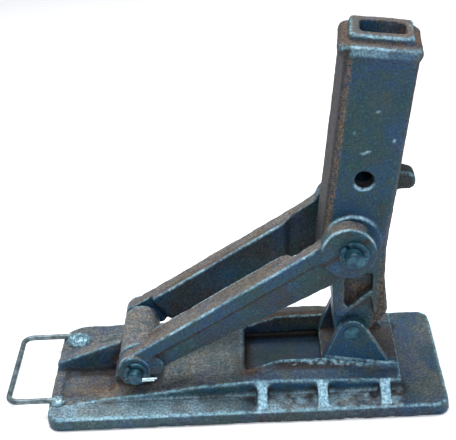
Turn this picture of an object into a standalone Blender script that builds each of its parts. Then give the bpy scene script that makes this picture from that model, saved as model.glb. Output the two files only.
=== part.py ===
"""Lever-socket toggle jack, modelled as separate parts in metres, +Z up.

The origin is on the ground under the base plate, in the middle plane of the socket.  +X points
from the carry handle to the open end of the slide guide, and +Y points to the rear link arm.

The lever socket swings on the head pin B between two link arms.  The arms swing on the hub pin A,
which is fixed to the base.  The foot of the socket stands on the pin C of a shoe that slides along X
in the T-slot of the base.
"""
import math

import bmesh
import bpy
from mathutils import Matrix, Vector

MM = 0.001

# Base casting
PLATE_LEFT = -183 * MM
PLATE_RIGHT = 178 * MM
PLATE_FRONT = -78 * MM
PLATE_REAR = 76 * MM
PLATE_THICKNESS = 12 * MM
PLATE_CORNER = 15 * MM
PLATE_HANDLE_CORNER = 24 * MM
PLATE_DRAFT = 1.5 * MM
GUIDE_HALF_WIDTH = 54 * MM
GUIDE_LIP_EDGE = 37.5 * MM
SLOT_HALF_WIDTH = 34.7 * MM
UNDERCUT_HALF_WIDTH = 43.6 * MM
SLOT_FLOOR = 12.1 * MM
TROUGH_FLOOR = 9.5 * MM
UNDERCUT_TOP = 20.5 * MM
SLOT_START = -3 * MM
GUIDE_END = 137 * MM
# Stations along the guide: x, height of the outer edge, of the shoulder, and of the lip
GUIDE_STATIONS = (
    (-168 * MM, 12.2 * MM, 12.3 * MM, 12.4 * MM),
    (-92 * MM, 19.6 * MM, 19.8 * MM, 20.0 * MM),
    (-43 * MM, 25.1 * MM, 25.4 * MM, 25.7 * MM),
    (2 * MM, 28.6 * MM, 29.0 * MM, 29.4 * MM),
    (28 * MM, 27.8 * MM, 33.0 * MM, 38.0 * MM),
    (70 * MM, 26.8 * MM, 32.0 * MM, 38.0 * MM),
    (137 * MM, 24.2 * MM, 25.0 * MM, 26.0 * MM),
)
GUSSETS = ((12 * MM, 8.8 * MM), (66 * MM, 8.8 * MM), (121.5 * MM, 9.2 * MM))  # centre x, width
HUB_RADIUS = 16.5 * MM
HUB_HALF_WIDTH = 33.9 * MM

# Pivots in the XZ plane
PIVOT_A = Vector((-99.5 * MM, 0, 43 * MM))
PIVOT_B = Vector((95.5 * MM, 0, 154 * MM))
PIVOT_C = Vector((94.5 * MM, 0, 61.4 * MM))

# Pins
HUB_PIN_RADIUS = 6.2 * MM
HUB_PIN_TIP = 64 * MM
HUB_WASHER_RADIUS = 10.5 * MM
HEAD_PIN_RADIUS = 7.6 * MM
HEAD_PIN_TIP = 66 * MM
HEAD_WASHER_RADIUS = 12.8 * MM
SPACER_WALL = 5.5 * MM
PIN_FIT = 0.35 * MM
PIN_HEAD_WALL = 4 * MM
SHOE_PIN_RADIUS = 6.5 * MM
SPLIT_PIN_RADIUS = 1.5 * MM
SPLIT_PIN_INSET = 3 * MM
WASHER_GAP = 3 * MM

# Link arms
ARM_INNER = 36 * MM
ARM_SWELL = 27 * MM
ARM_WEB = 43.5 * MM
ARM_FLANGE = 49.8 * MM
ARM_BOSS_A = 52.6 * MM
ARM_BOSS_B = 53.4 * MM
ARM_BOSS_A_RADIUS = 14.8 * MM
ARM_BOSS_B_RADIUS = 23.8 * MM
ARM_SHOULDER = 51.6 * MM
ARM_TAIL_OFFSET = -1.5 * MM
ARM_HEAD_OFFSET = -4.2 * MM
WASHER_THICKNESS = 3 * MM
SPACER_THICKNESS = 1.6 * MM
GAP = 0.3 * MM

# Lever socket, in its own frame: u runs up the socket from pivot C, v across it
SOCKET_LEAN = math.radians(8.1)
SOCKET_AXIS = -9.3 * MM
SOCKET_HALF_DEPTH = 31 * MM
SOCKET_HALF_WIDTH_LOW = 28.6 * MM
SOCKET_HALF_WIDTH_TOP = 30.6 * MM
SOCKET_LOW = 66 * MM
SOCKET_TOP = 262 * MM
SOCKET_CORNER = 6 * MM
BOSS_RADIUS = 25.5 * MM
BOSS_HALF_DEPTH = 33.6 * MM
FOOT_HALF_DEPTH = 23.2 * MM
FOOT_RADIUS = 15.5 * MM
FOOT_BORE = 10.9 * MM
MOUTH_HALF_WIDTH = 19.2 * MM
MOUTH_HALF_DEPTH = 14.8 * MM
MOUTH_OFFSET = 1.5 * MM
MOUTH_BOTTOM = 122 * MM
CROSS_HOLE_U = 150.6 * MM
CROSS_HOLE_RADIUS = 8.3 * MM
RIM_TOP = 275.5 * MM
RIM_SKEW = 0.085
RIM_HALF_WIDTH = 26.7 * MM
RIM_HALF_DEPTH = 24.4 * MM
TOE_HALF_DEPTH = 9 * MM

# Shoe
SHOE_LEFT = 67 * MM
SHOE_RIGHT = 136.5 * MM
SHOE_FLANGE_HALF_WIDTH = 43.1 * MM
SHOE_FLANGE_TOP = 20.1 * MM
SHOE_BODY_HALF_WIDTH = 34.2 * MM
SHOE_BODY_TOP = 28 * MM
EAR_INNER = 24 * MM
EAR_OUTER = 33.4 * MM
EAR_RADIUS = 12.6 * MM

# Carry handle
WIRE_RADIUS = 2.7 * MM
HANDLE_X = -219.3 * MM
HANDLE_HALF_WIDTH = 51.7 * MM
HANDLE_CORNER = 9 * MM
HANDLE_Z = PLATE_THICKNESS + WIRE_RADIUS + 0.8 * MM
HANDLE_REAR_END = -165 * MM
HANDLE_FRONT_END = -170 * MM


def clear_scene():
    """Remove every object that is in the file."""
    for thing in list(bpy.data.objects):
        bpy.data.objects.remove(thing, do_unlink=True)


def material(name, colour, roughness, metallic):
    """Return a plain Principled material."""
    made = bpy.data.materials.new(name)
    made.use_nodes = True
    shader = made.node_tree.nodes["Principled BSDF"]
    shader.inputs["Base Color"].default_value = (*colour, 1)
    shader.inputs["Roughness"].default_value = roughness
    shader.inputs["Metallic"].default_value = metallic
    return made


def finish_object(name, mesh_builder, finish, smooth=None):
    """Turn a bmesh into a named object, with its faces pointing out."""
    bmesh.ops.recalc_face_normals(mesh_builder, faces=mesh_builder.faces)
    mesh = bpy.data.meshes.new(name)
    mesh_builder.to_mesh(mesh)
    mesh_builder.free()
    mesh.materials.append(finish)
    if smooth is not None:
        mesh.shade_smooth()
        mesh.set_sharp_from_angle(angle=math.radians(smooth))
    thing = bpy.data.objects.new(name, mesh)
    bpy.context.scene.collection.objects.link(thing)
    return thing


def loft(name, sections, finish, smooth=None):
    """Skin closed sections, each a list of 3-D points in the same order, and cap both ends."""
    builder = bmesh.new()
    rings = [[builder.verts.new(point) for point in section] for section in sections]
    for low, high in zip(rings, rings[1:]):
        for i in range(len(low)):
            j = (i + 1) % len(low)
            builder.faces.new((low[i], low[j], high[j], high[i]))
    builder.faces.new(rings[0])
    builder.faces.new(rings[-1])
    return finish_object(name, builder, finish, smooth)


def prism_y(name, outline, y_low, y_high, finish, smooth=None):
    """Extrude an outline of (x, z) points along Y."""
    sections = [[(x, y, z) for x, z in outline] for y in (y_low, y_high)]
    return loft(name, sections, finish, smooth)


def cylinder_y(name, centre, radius, y_low, y_high, finish, steps=32):
    """Make a cylinder whose axis is parallel to Y."""
    outline = arc(centre.x, centre.z, radius, 0, 360 - 360 / steps, steps - 1)
    return prism_y(name, outline, y_low, y_high, finish, 40)


def arc(x, z, radius, start, stop, steps):
    """Return points on an arc about (x, z), with its angles in degrees."""
    angles = [math.radians(start + (stop - start) * i / steps) for i in range(steps + 1)]
    return [(x + radius * math.cos(a), z + radius * math.sin(a)) for a in angles]


def rounded_rectangle(half_x, half_y, radius, steps):
    """Return the outline of a rectangle about the origin with round corners."""
    points = []
    for quarter, (sx, sy) in enumerate(((1, 1), (-1, 1), (-1, -1), (1, -1))):
        centre = (sx * (half_x - radius), sy * (half_y - radius))
        points += arc(*centre, radius, 90 * quarter, 90 * quarter + 90, steps)
    return points


def combine(target, tool, operation):
    """Apply a Boolean with a helper object, which stays hidden."""
    tool.hide_render = True
    tool.display_type = "WIRE"
    step = target.modifiers.new(tool.name, "BOOLEAN")
    step.operation = operation
    step.solver = "EXACT"
    step.object = tool


def join(target, *tools):
    """Unite helper solids with a part."""
    for tool in tools:
        combine(target, tool, "UNION")


def cut(target, *tools):
    """Cut helper solids out of a part."""
    for tool in tools:
        combine(target, tool, "DIFFERENCE")


def move_origin(thing, point):
    """Put an object's origin on a joint axis without moving its mesh in the world."""
    thing.data.transform(Matrix.Translation(-point))
    thing.location = point


def at_y(point, y):
    """Return a pivot's point at another y."""
    return Vector((point.x, y, point.z))


# Base


def make_base(finish):
    """Make the one-piece base: plate, guide rails, gussets, hub and buttress."""
    base = loft("base_casting", [[(x, y, 0) for x, y in plate_outline(0)],
                                 [(x, y, PLATE_THICKNESS) for x, y in plate_outline(PLATE_DRAFT)]],
                finish)
    join(base, guide_block(finish), *gusset_ribs(finish), hub_pedestal(finish), buttress(finish),
         cylinder_y("hub_barrel", PIVOT_A, HUB_RADIUS, -HUB_HALF_WIDTH, HUB_HALF_WIDTH, finish))
    cut(base, slot_cutter(finish), undercut_cutter(finish), trough_cutter(finish),
        cylinder_y("hub_bore", PIVOT_A, HUB_PIN_RADIUS + PIN_FIT, -60 * MM, 60 * MM, finish))
    return base


def plate_outline(inset):
    """Return the outline of the plate drawn in by an inset; one handle corner is rounder."""
    corners = ((PLATE_RIGHT, PLATE_REAR, PLATE_CORNER), (PLATE_LEFT, PLATE_REAR, PLATE_HANDLE_CORNER),
               (PLATE_LEFT, PLATE_FRONT, PLATE_CORNER), (PLATE_RIGHT, PLATE_FRONT, PLATE_CORNER))
    points = []
    for quarter, (x, y, radius) in enumerate(corners):
        centre = (x - math.copysign(radius, x), y - math.copysign(radius, y))
        points += arc(*centre, radius - inset, 90 * quarter, 90 * quarter + 90, 5)
    return points


def guide_block(finish):
    """Loft the wedge and the two guide rails as one block along X."""
    sections = []
    for x, edge, shoulder, lip in GUIDE_STATIONS:
        outline = ((-GUIDE_HALF_WIDTH, 6 * MM), (-GUIDE_HALF_WIDTH, edge), (-GUIDE_LIP_EDGE, shoulder),
                   (-GUIDE_LIP_EDGE, lip), (GUIDE_HALF_WIDTH - 1 * MM, lip),
                   (GUIDE_HALF_WIDTH, 6 * MM))
        sections.append([(x, y, z) for y, z in outline])
    return loft("guide_block", sections, finish)


def gusset_ribs(finish):
    """Make the sloping ribs between the guide and the long edges of the plate."""
    ribs = []
    inner = GUIDE_HALF_WIDTH - 3 * MM
    for number, (centre, width) in enumerate(GUSSETS):
        for side, edge in ((-1, PLATE_FRONT), (1, PLATE_REAR)):
            outer = abs(edge) - 4 * MM
            outline = ((inner, 8 * MM), (inner, 25.6 * MM), (GUIDE_HALF_WIDTH, 25 * MM),
                       (outer, PLATE_THICKNESS + 0.6 * MM), (outer, 8 * MM))
            sections = [[(centre + half, side * y, z) for y, z in outline]
                        for half in (-width / 2, width / 2)]
            ribs.append(loft(f"gusset_{number}_{side}", sections, finish))
    return ribs


def hub_pedestal(finish):
    """Make the foot of the hub, with a hollow curve down to the plate on the handle side."""
    right = PIVOT_A.x + HUB_RADIUS
    left = PIVOT_A.x - HUB_RADIUS
    sweep = 27 * MM
    drop = PIVOT_A.z - PLATE_THICKNESS
    curve = []
    for i in range(7):
        angle = math.radians(90 * i / 6)
        curve.append((left - sweep + sweep * math.cos(angle), PIVOT_A.z - drop * math.sin(angle)))
    outline = [(right, 8 * MM), (right, PIVOT_A.z), *curve, (left - sweep, 8 * MM)]
    half = HUB_HALF_WIDTH - 2 * MM
    return prism_y("hub_pedestal", outline, -half, half, finish)


def buttress(finish):
    """Make the tapered rib that rises from the handle end of the plate to the hub."""
    sections = []
    for x, height in ((-180.5 * MM, 20 * MM), (-110 * MM, 44 * MM)):
        outline = ((-1.5 * MM, 8 * MM), (0, height), (5 * MM, height - 0.5 * MM),
                   (HUB_HALF_WIDTH - 4 * MM, PLATE_THICKNESS + 0.2 * MM),
                   (HUB_HALF_WIDTH - 4 * MM, 8 * MM))
        sections.append([(x, y, z) for y, z in outline])
    return loft("buttress", sections, finish)


def box(name, x_range, y_range, z_range, finish):
    """Make a box between the given ranges."""
    (x0, x1), (y0, y1), (z0, z1) = x_range, y_range, z_range
    outline = ((x0, z0), (x1, z0), (x1, z1), (x0, z1))
    return prism_y(name, outline, y0, y1, finish)


def slot_cutter(finish):
    """Cut the open slot between the two rails."""
    half = SLOT_HALF_WIDTH
    return box("slot", (SLOT_START, 150 * MM), (-half, half), (SLOT_FLOOR, 60 * MM), finish)


def undercut_cutter(finish):
    """Cut the wider lower part of the T-slot."""
    half = UNDERCUT_HALF_WIDTH
    return box("undercut", (SLOT_START, 150 * MM), (-half, half),
               (SLOT_FLOOR, UNDERCUT_TOP), finish)


def trough_cutter(finish):
    """Cut the shallow hollow beside the buttress at the handle end."""
    outline = [(x - 148 * MM, y - 22 * MM) for x, y in rounded_rectangle(25 * MM, 20 * MM, 6 * MM, 4)]
    sections = [[(x, y, z) for x, y in outline] for z in (TROUGH_FLOOR, 30 * MM)]
    return loft("trough", sections, finish)


# Link arms


def arm_point(t, h):
    """Return (x, z) of a point t along the line from A to B and h square to it, upwards."""
    along = (PIVOT_B - PIVOT_A).normalized()
    return (PIVOT_A.x + t * along.x - h * along.z, PIVOT_A.z + t * along.z + h * along.x)


def make_arm(name, side, finish):
    """Make one link arm; side is -1 for the front arm and 1 for the rear arm.

    Between its bosses the arm swells inwards, clear of the hub and of the socket's foot.
    """
    length = (PIVOT_B - PIVOT_A).length
    far = length / MM
    web_outline = ((-4, 12), (12, 15.5), (far - 26, 19), (far - 4, 20),
                   (far, -18), (far - 30, -22), (26, -13.5), (-2, -12))
    flange_outline = ((-3, 14.2), (12, 15.6), (far - 30, 18.8), (far - 16, 20.7), (far - 5, 23),
                      (far - 5, 2), (far - 26, 6.2), (14, 3.1), (-3, 1.6))
    shoulder_outline = ((far - 36, 17.9), (far - 16.3, 20.4), (far - 5.6, 22.6), (far - 5.6, 0),
                        (far - 24, 2), (far - 36.4, 8))
    swell_root = ((20.5, 14.6), (179, 17.2), (152.4, -18.2), (23, -12.6))
    swell_face = ((21.5, 17), (171, 19.8), (146, -17.4), (24, -12))
    head = PIVOT_B + Vector((ARM_HEAD_OFFSET, 0, 0.2 * MM))
    tail = PIVOT_A + Vector((ARM_TAIL_OFFSET, 0, 0.4 * MM))
    lobe_x, lobe_z = arm_point(15.5 * MM, -4.6 * MM)

    def sides(outer):
        return sorted((side * ARM_INNER, side * outer))

    web = [arm_point(t * MM, h * MM) for t, h in web_outline]
    flange = [arm_point(t * MM, h * MM) for t, h in flange_outline]
    shoulder = [arm_point(t * MM, h * MM) for t, h in shoulder_outline]
    swell = [[(x, side * y, z) for x, z in (arm_point(t * MM, h * MM) for t, h in outline)]
             for outline, y in ((swell_face, ARM_SWELL), (swell_root, ARM_INNER + 2 * MM))]
    arm = prism_y(name, web, *sides(ARM_WEB), finish)
    join(arm,
         loft(f"{name}_swell", swell[::side], finish),
         prism_y(f"{name}_flange", flange, *sides(ARM_FLANGE), finish),
         prism_y(f"{name}_shoulder", shoulder, *sides(ARM_SHOULDER), finish),
         cylinder_y(f"{name}_boss_a", tail, ARM_BOSS_A_RADIUS, *sides(ARM_BOSS_A), finish),
         cylinder_y(f"{name}_boss_b", head, ARM_BOSS_B_RADIUS, *sides(ARM_BOSS_B), finish),
         cylinder_y(f"{name}_lobe", Vector((lobe_x, 0, lobe_z)), 9.3 * MM,
                    *sides(ARM_BOSS_A - 3 * MM), finish, 24))
    cut(arm,
        cylinder_y(f"{name}_bore_a", PIVOT_A, HUB_PIN_RADIUS + PIN_FIT, -80 * MM, 80 * MM, finish),
        cylinder_y(f"{name}_bore_b", PIVOT_B, HEAD_PIN_RADIUS + PIN_FIT, -80 * MM, 80 * MM, finish))
    move_origin(arm, PIVOT_A)
    return arm


def tube_y(name, centre, inner, outer, y_low, y_high, finish, steps=32):
    """Make a washer or spacer round a pin that is parallel to Y."""
    builder = bmesh.new()
    rings = []
    for radius, y in ((inner, y_low), (outer, y_low), (outer, y_high), (inner, y_high)):
        circle = arc(centre.x, centre.z, radius, 0, 360 - 360 / steps, steps - 1)
        rings.append([builder.verts.new((x, y, z)) for x, z in circle])
    for low, high in zip(rings, rings[1:] + rings[:1]):
        for i in range(steps):
            j = (i + 1) % steps
            builder.faces.new((low[i], low[j], high[j], high[i]))
    return finish_object(name, builder, finish, 40)


def turned_y(name, centre, profile, finish, steps=32):
    """Turn a profile of (y, radius) points about an axis parallel to Y."""
    sections = []
    for y, radius in profile:
        circle = arc(centre.x, centre.z, radius, 0, 360 - 360 / steps, steps - 1)
        sections.append([(x, y, z) for x, z in circle])
    return loft(name, sections, finish, 40)


def split_washer(name, centre, inner, outer, y_low, y_high, finish):
    """Make a washer with a gap at its upper left."""
    washer = tube_y(name, centre, inner, outer, y_low, y_high, finish)
    half = WASHER_GAP / 2
    outline = []
    for along, across in ((0, -half), (outer * 1.3, -half), (outer * 1.3, half), (0, half)):
        outline.append((centre.x + (-along + across) * math.sqrt(0.5),
                        centre.z + (along + across) * math.sqrt(0.5)))
    cut(washer, prism_y(f"{name}_gap", outline, y_low - 1 * MM, y_high + 1 * MM, finish))
    return washer


def make_clevis_pin(name, pivot, radius, tip, boss, finish):
    """Make a pin with a head behind the rear washer and a tip that is drilled for a split pin."""
    head = boss + WASHER_THICKNESS + 2 * GAP
    head_radius = radius + PIN_HEAD_WALL
    chamfer = 1 * MM
    profile = ((-tip, radius - chamfer), (-tip + chamfer, radius),
               (head, radius), (head, head_radius), (head + 4 * MM, head_radius),
               (head + 5 * MM, head_radius - chamfer))
    pin = turned_y(name, pivot, profile, finish)
    centre = at_y(pivot, -tip + SPLIT_PIN_INSET)
    cut(pin, rod_x(f"{name}_hole", centre, SPLIT_PIN_RADIUS + GAP, 60 * MM, finish))
    move_origin(pin, pivot)
    return pin


def rod_x(name, centre, radius, length, finish):
    """Make a straight rod about a centre, parallel to X."""
    builder = bmesh.new()
    bmesh.ops.create_cone(builder, cap_ends=True, segments=12, radius1=radius, radius2=radius,
                          depth=length)
    turn = Matrix.Translation(centre) @ Matrix.Rotation(math.pi / 2, 4, "Y")
    bmesh.ops.transform(builder, matrix=turn, verts=builder.verts)
    return finish_object(name, builder, finish, 40)


def make_split_pin(name, centre, left, right, finish):
    """Make a split pin: a small round eye on the left and closed legs to the right."""
    builder = bmesh.new()
    eye = 2.6 * MM
    middle = centre + Vector((-left - eye, 0, 0))
    path = []
    for i in range(17):
        angle = math.radians(20 + 320 * i / 16)
        path.append(middle + eye * Vector((math.cos(angle), 0, math.sin(angle))))
    skin_rings(builder, wire_rings(builder, path, SPLIT_PIN_RADIUS * 0.62, 8))
    ring = finish_object(f"{name}_eye", builder, finish, 40)
    length = left + right + 1 * MM
    pin = rod_x(name, centre + Vector(((right - left - 1 * MM) / 2, 0, 0)), SPLIT_PIN_RADIUS,
                length, finish)
    join(pin, ring)
    return pin


def wire_rings(builder, path, radius, sides):
    """Place rings of vertices square to a path of points."""
    rings = []
    for i, point in enumerate(path):
        ahead = path[min(i + 1, len(path) - 1)]
        behind = path[max(i - 1, 0)]
        along = (ahead - behind).normalized()
        across = along.cross(Vector((0, 0, 1)))
        if across.length < 0.5:
            across = along.cross(Vector((0, 1, 0)))
        across.normalize()
        up = across.cross(along)
        ring = []
        for k in range(sides):
            angle = 2 * math.pi * k / sides
            offset = across * math.cos(angle) + up * math.sin(angle)
            ring.append(builder.verts.new(point + radius * offset))
        rings.append(ring)
    return rings


def skin_rings(builder, rings):
    """Join neighbouring rings with faces and cap the ends."""
    sides = len(rings[0])
    for low, high in zip(rings, rings[1:]):
        for i in range(sides):
            j = (i + 1) % sides
            builder.faces.new((low[i], low[j], high[j], high[i]))
    builder.faces.new(rings[0])
    builder.faces.new(rings[-1])


# Lever socket


def socket_point(v, u, y):
    """Return the world point of (v, u) in the socket's own frame."""
    lean = SOCKET_LEAN
    return (PIVOT_C.x + u * math.sin(lean) + v * math.cos(lean), y,
            PIVOT_C.z + u * math.cos(lean) - v * math.sin(lean))


def socket_section(u, half_width, half_depth, corner, middle=0, skew=0):
    """Return a rounded rectangle square to the socket's axis, which may be cast a little askew."""
    outline = rounded_rectangle(half_width, half_depth, corner, 3)
    return [socket_point(SOCKET_AXIS + middle + v + skew * y, u, y) for v, y in outline]


def socket_prism(name, outline, half_depth, finish):
    """Extrude an outline of (v, u) points in millimetres to both sides of the middle plane."""
    sections = [[socket_point(v * MM, u * MM, y) for v, u in outline]
                for y in (-half_depth, half_depth)]
    return loft(name, sections, finish)


def make_socket(finish):
    """Make the lever socket: a tapered square tube with a collar, a toe and an open ribbed foot."""
    body = loft("lever_socket", [
        socket_section(SOCKET_LOW, SOCKET_HALF_WIDTH_LOW, SOCKET_HALF_DEPTH, SOCKET_CORNER),
        socket_section(SOCKET_TOP, SOCKET_HALF_WIDTH_TOP, SOCKET_HALF_DEPTH, SOCKET_CORNER)], finish)
    join(body, socket_collar(finish), socket_skirt(finish), socket_foot(finish), socket_toe(finish),
         cylinder_y("socket_boss", PIVOT_B, BOSS_RADIUS, -BOSS_HALF_DEPTH, BOSS_HALF_DEPTH, finish))
    cut(body, mouth_cutter(finish), *pocket_cutters(finish), cross_hole_cutter(finish),
        cylinder_y("head_bore", PIVOT_B, HEAD_PIN_RADIUS + PIN_FIT, -60 * MM, 60 * MM, finish),
        cylinder_y("foot_bore", PIVOT_C, FOOT_BORE, -40 * MM, 40 * MM, finish))
    move_origin(body, PIVOT_B)
    return body


def socket_collar(finish):
    """Make the half-round collar and the narrower block above it."""
    width = SOCKET_HALF_WIDTH_TOP
    depth = SOCKET_HALF_DEPTH
    sections = [socket_section(SOCKET_TOP - 10 * MM, width - 1 * MM, depth - 1 * MM, 6 * MM)]
    for i in range(5):
        angle = math.radians(-80 + 40 * i)
        bulge = math.cos(angle)
        sections.append(socket_section(SOCKET_TOP + 0.4 * MM + 6 * MM * math.sin(angle),
                                       width + 0.3 * MM + 4 * MM * bulge,
                                       depth + 0.3 * MM + 2.4 * MM * bulge, 8 * MM, 0, RIM_SKEW))
    for u, inset in ((SOCKET_TOP + 7 * MM, 0), (RIM_TOP - 1.5 * MM, 0), (RIM_TOP, 1.5 * MM)):
        sections.append(socket_section(u, RIM_HALF_WIDTH - inset, RIM_HALF_DEPTH - inset,
                                       4 * MM - inset, 0, RIM_SKEW))
    return loft("socket_collar", sections, finish)


def socket_skirt(finish):
    """Make the full-depth lower part, which ends in a slope that clears the shoe's ears."""
    outline = ((-37, 88), (-34.5, 71), (-25.5, 58), (-22.8, 43), (-20, 27), (-17, 14), (-10.1, 14.5),
               (12, 38.8), (14.5, 30), (17, 21.5), (27, 20), (28.4, 26), (21.5, 58), (18.6, 88))
    return socket_prism("socket_skirt", outline, SOCKET_HALF_DEPTH - 0.6 * MM, finish)


def socket_foot(finish):
    """Make the narrow foot that stands between the ears of the shoe."""
    eye = [(x / MM, z / MM) for x, z in arc(0, 0, FOOT_RADIUS, 170, 350, 12)]
    outline = [(-20, 60), (-20, 27), *eye, (21.4, 6), (27.5, 13), (28.3, 24), (20, 60)]
    return socket_prism("socket_foot", outline, FOOT_HALF_DEPTH, finish)


def socket_toe(finish):
    """Make the lifting toe on the back of the socket."""
    nose = [(x / MM, z / MM) for x, z in arc(29.9 * MM, 142.6 * MM, 8.5 * MM, 70, -62, 7)]
    outline = [(12, 152.5), (26, 151.5), *nose, (26, 134), (18, 131), (12, 131)]
    return socket_prism("socket_toe", outline, TOE_HALF_DEPTH, finish)


def mouth_cutter(finish):
    """Cut the tapered mouth that takes the lever bar."""
    return loft("socket_mouth", [
        socket_section(MOUTH_BOTTOM, MOUTH_HALF_WIDTH - 1 * MM, MOUTH_HALF_DEPTH - 1 * MM, 5 * MM,
                       MOUTH_OFFSET, RIM_SKEW),
        socket_section(RIM_TOP + 5 * MM, MOUTH_HALF_WIDTH, MOUTH_HALF_DEPTH, 5 * MM,
                       MOUTH_OFFSET, RIM_SKEW)], finish)


def pocket_cutters(finish):
    """Cut the pockets on both faces above the sloping rib of the foot."""
    outline = ((-13.5, 61), (-12, 43), (-10.5, 28), (-6.5, 24.5), (12.5, 45.5), (10.5, 61))
    cutters = []
    for side in (-1, 1):
        sections = [[socket_point(v * MM, u * MM, side * y) for v, u in outline]
                    for y in (FOOT_HALF_DEPTH - 4 * MM, 40 * MM)]
        cutters.append(loft(f"socket_pocket_{side}", sections, finish))
    return cutters


def cross_hole_cutter(finish):
    """Cut the round hole through the front and rear walls of the socket."""
    x, _, z = socket_point(SOCKET_AXIS, CROSS_HOLE_U, 0)
    return cylinder_y("cross_hole", Vector((x, 0, z)), CROSS_HOLE_RADIUS, -50 * MM, 50 * MM, finish, 24)


# Shoe


def make_shoe(finish):
    """Make the sliding shoe: a flange under the rail lips, a body in the slot and two ears."""
    flange = box("slide_shoe", (SHOE_LEFT, SHOE_RIGHT),
                 (-SHOE_FLANGE_HALF_WIDTH, SHOE_FLANGE_HALF_WIDTH),
                 (SLOT_FLOOR + GAP, SHOE_FLANGE_TOP), finish)
    body = box("shoe_body", (SHOE_LEFT, SHOE_RIGHT), (-SHOE_BODY_HALF_WIDTH, SHOE_BODY_HALF_WIDTH),
               (SHOE_FLANGE_TOP - 2 * MM, SHOE_BODY_TOP), finish)
    crown = arc(PIVOT_C.x, PIVOT_C.z, EAR_RADIUS, 24, 152, 8)
    outline = [(127.5 * MM, 24 * MM), (127.5 * MM, SHOE_BODY_TOP), *crown,
               (69.5 * MM, 36.5 * MM), (SHOE_LEFT, SHOE_BODY_TOP), (SHOE_LEFT, 24 * MM)]
    ears = [prism_y(f"ear_{side}", outline, *sorted((side * EAR_INNER, side * EAR_OUTER)), finish)
            for side in (-1, 1)]
    join(flange, body, *ears)
    cut(flange, cylinder_y("ear_bore", PIVOT_C, SHOE_PIN_RADIUS + GAP, -60 * MM, 60 * MM, finish, 24))
    move_origin(flange, PIVOT_C)
    return flange


def make_shoe_pin(finish):
    """Make the pin through the ears, with its ends peened over."""
    dome = 1.2 * MM
    end = EAR_OUTER + GAP
    radius = SHOE_PIN_RADIUS
    profile = ((-end - dome, radius * 0.6), (-end - dome * 0.6, radius + 0.6 * MM), (-end, radius + 1 * MM),
               (-end, radius), (end, radius),
               (end, radius + 1 * MM), (end + dome * 0.6, radius + 0.6 * MM), (end + dome, radius * 0.6))
    pin = turned_y("shoe_pin", PIVOT_C, profile, finish, 24)
    move_origin(pin, PIVOT_C)
    return pin


# Handle


def handle_path():
    """Return the middle line of the wire bail, from the front leg to the rear leg."""
    corner = HANDLE_CORNER
    half = HANDLE_HALF_WIDTH
    centre = HANDLE_X + corner
    front = arc(centre, -half + corner, corner, 270, 180, 6)
    rear = arc(centre, half - corner, corner, 180, 90, 6)
    flat = [(HANDLE_FRONT_END, -half), *front, *rear, (HANDLE_REAR_END, half)]
    return [Vector((x, y, HANDLE_Z)) for x, y in flat]


def make_handle(finish):
    """Make the wire bail."""
    builder = bmesh.new()
    skin_rings(builder, wire_rings(builder, handle_path(), WIRE_RADIUS, 12))
    return finish_object("carry_handle", builder, finish, 40)


def make_weld(name, centre, size, finish):
    """Make a weld bead as half an ellipsoid over the end of a handle leg."""
    builder = bmesh.new()
    bmesh.ops.create_uvsphere(builder, u_segments=16, v_segments=10, radius=1)
    place = Matrix.Translation(centre) @ Matrix.Diagonal((*size, 1))
    bmesh.ops.transform(builder, matrix=place, verts=builder.verts)
    bead = finish_object(name, builder, finish, 60)
    start, _, _, height = GUIDE_STATIONS[0]
    end, _, _, far_height = GUIDE_STATIONS[1]
    below = ((-200 * MM, -50 * MM), (-200 * MM, height + GAP), (start, height + GAP),
             (end, far_height + GAP), (end, -50 * MM))
    wire = bmesh.new()
    skin_rings(wire, wire_rings(wire, handle_path(), WIRE_RADIUS + GAP, 12))
    cut(bead,
        finish_object(f"{name}_wire", wire, finish),
        prism_y(f"{name}_plate", below, -100 * MM, 100 * MM, finish))
    return bead


def fit_pin(place, pivot, radius, tip, washer, faces, finish):
    """Make a pin with its front and rear washers and its two spacers."""
    inside, boss = faces
    inner = radius + PIN_FIT
    make_clevis_pin(f"{place}_pin", pivot, radius, tip, boss, finish)
    split_washer(f"{place}_washer_front", pivot, inner, washer, -boss - GAP - WASHER_THICKNESS,
                 -boss - GAP, finish)
    tube_y(f"{place}_washer_rear", pivot, inner, washer, boss + GAP, boss + GAP + WASHER_THICKNESS,
           finish)
    for side, word in ((-1, "front"), (1, "rear")):
        low, high = sorted((side * (inside + GAP), side * (inside + GAP + SPACER_THICKNESS)))
        tube_y(f"{place}_spacer_{word}", pivot, inner, radius + SPACER_WALL, low, high, finish)


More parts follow.
